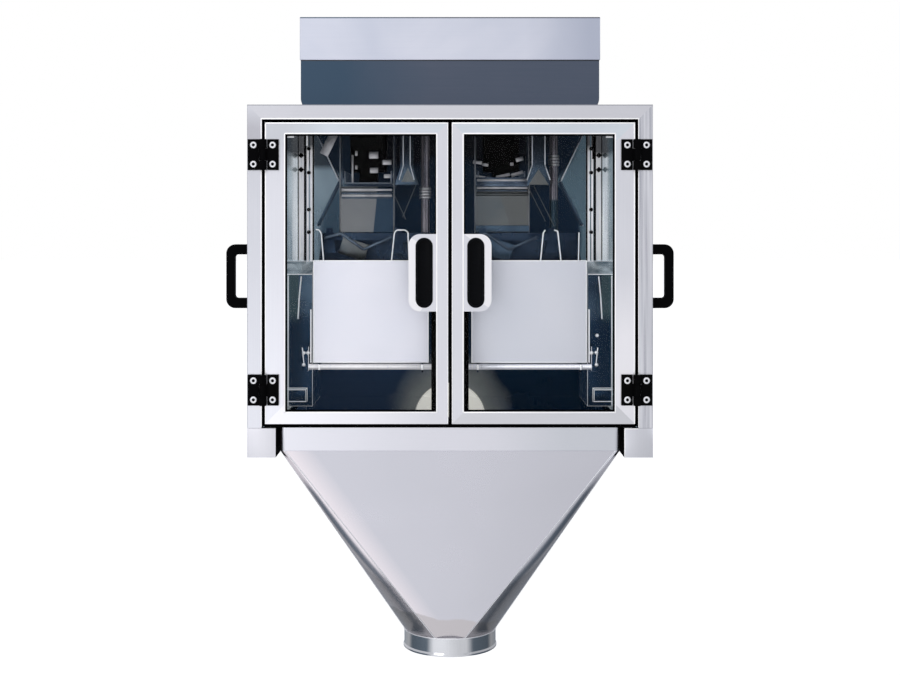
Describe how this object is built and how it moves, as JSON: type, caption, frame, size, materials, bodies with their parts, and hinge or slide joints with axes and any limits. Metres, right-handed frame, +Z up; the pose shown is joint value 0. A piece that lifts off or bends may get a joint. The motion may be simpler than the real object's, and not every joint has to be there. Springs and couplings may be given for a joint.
{
  "type": "weighing filling machine head (linear weigher)",
  "caption": "Stainless linear weigher head: glazed double-door cabinet, roof feed hopper, weigh buckets with bottom flaps and a funnel to a round spout.",
  "frame": {"origin": "centre of the base rails' bolt pattern, on the rails' underside", "axes": "+Z up, the doors face -Y, +X to the right of someone who faces the doors"},
  "size_m": [0.736, 0.4525, 1.103],
  "materials": {
    "bright_steel": "brushed stainless steel, bright",
    "funnel_steel": "satin stainless sheet with polished seams",
    "slate_steel": "brushed stainless that mirrors a dark room, slate grey",
    "polished_steel": "polished stainless steel",
    "mirror_steel": "polished liner sheet",
    "inner_steel": "cold-rolled stainless sheet in the shade of the cabin",
    "satin_steel": "satin stainless plate",
    "gate_steel": "pale satin stainless plate",
    "clear_glass": "clear safety glass",
    "black_plastic": "black moulded plastic",
    "black_paint": "black enamel"
  },
  "bodies": {
    "cabinet": {"front_frame": "bright_steel", "roof_panel": "bright_steel", "back_panel": "bright_steel", "funnel_skirt": "funnel_steel", "funnel_corner_panels": "funnel_steel", "funnel_flat_panels": "funnel_steel", "spout_collar": "polished_steel", "feed_hopper": "slate_steel", "hopper_rim": "bright_steel", "guide_plates": "inner_steel", "divider_plates": "inner_steel", "collared_columns": "inner_steel", "feed_chutes": "inner_steel", "gate_panels": "gate_steel", "feeder_trays": "inner_steel", "hanger_rods": "polished_steel", "corner_posts": "polished_steel", "post_knobs": "black_plastic", "hinge_frame_leaves": "black_plastic", "base_rail_left": "bright_steel", "side_panel_left": "bright_steel", "side_liner_left": "mirror_steel", "side_handle_left": "black_plastic", "weigh_bucket_left": "inner_steel", "bucket_front_left": "satin_steel", "drive_housing_left": "inner_steel", "feeder_drive_left": "black_paint", "base_rail_right": "bright_steel", "side_panel_right": "bright_steel", "side_liner_right": "mirror_steel", "side_handle_right": "black_plastic", "weigh_bucket_right": "inner_steel", "bucket_front_right": "satin_steel", "drive_housing_right": "inner_steel", "feeder_drive_right": "black_paint"},
    "door_left": {"door_frame_left": "bright_steel", "door_glass_left": "clear_glass", "pull_cup_left": "black_plastic", "hinge_door_leaves_left": "black_plastic"},
    "door_right": {"door_frame_right": "bright_steel", "door_glass_right": "clear_glass", "pull_cup_right": "black_plastic", "hinge_door_leaves_right": "black_plastic"},
    "flap_left": {"bucket_flap_left": "polished_steel"},
    "flap_right": {"bucket_flap_right": "polished_steel"}
  },
  "joints": [
    {"name": "door_left_hinge", "type": "hinge", "parent": "cabinet", "child": "door_left", "pos_m": [-0.3035, -0.2265, 0.308], "axis": [0, 0, -1], "range_deg": [0, 160]},
    {"name": "flap_left_pivot", "type": "hinge", "parent": "cabinet", "child": "flap_left", "pos_m": [-0.1335, -0.126, 0.139], "axis": [-1, 0, 0], "range_deg": [0, 65]},
    {"name": "door_right_hinge", "type": "hinge", "parent": "cabinet", "child": "door_right", "pos_m": [0.3035, -0.2265, 0.308], "axis": [0, 0, 1], "range_deg": [0, 160]},
    {"name": "flap_right_pivot", "type": "hinge", "parent": "cabinet", "child": "flap_right", "pos_m": [0.1335, -0.126, 0.139], "axis": [-1, 0, 0], "range_deg": [0, 65]}
  ]
}
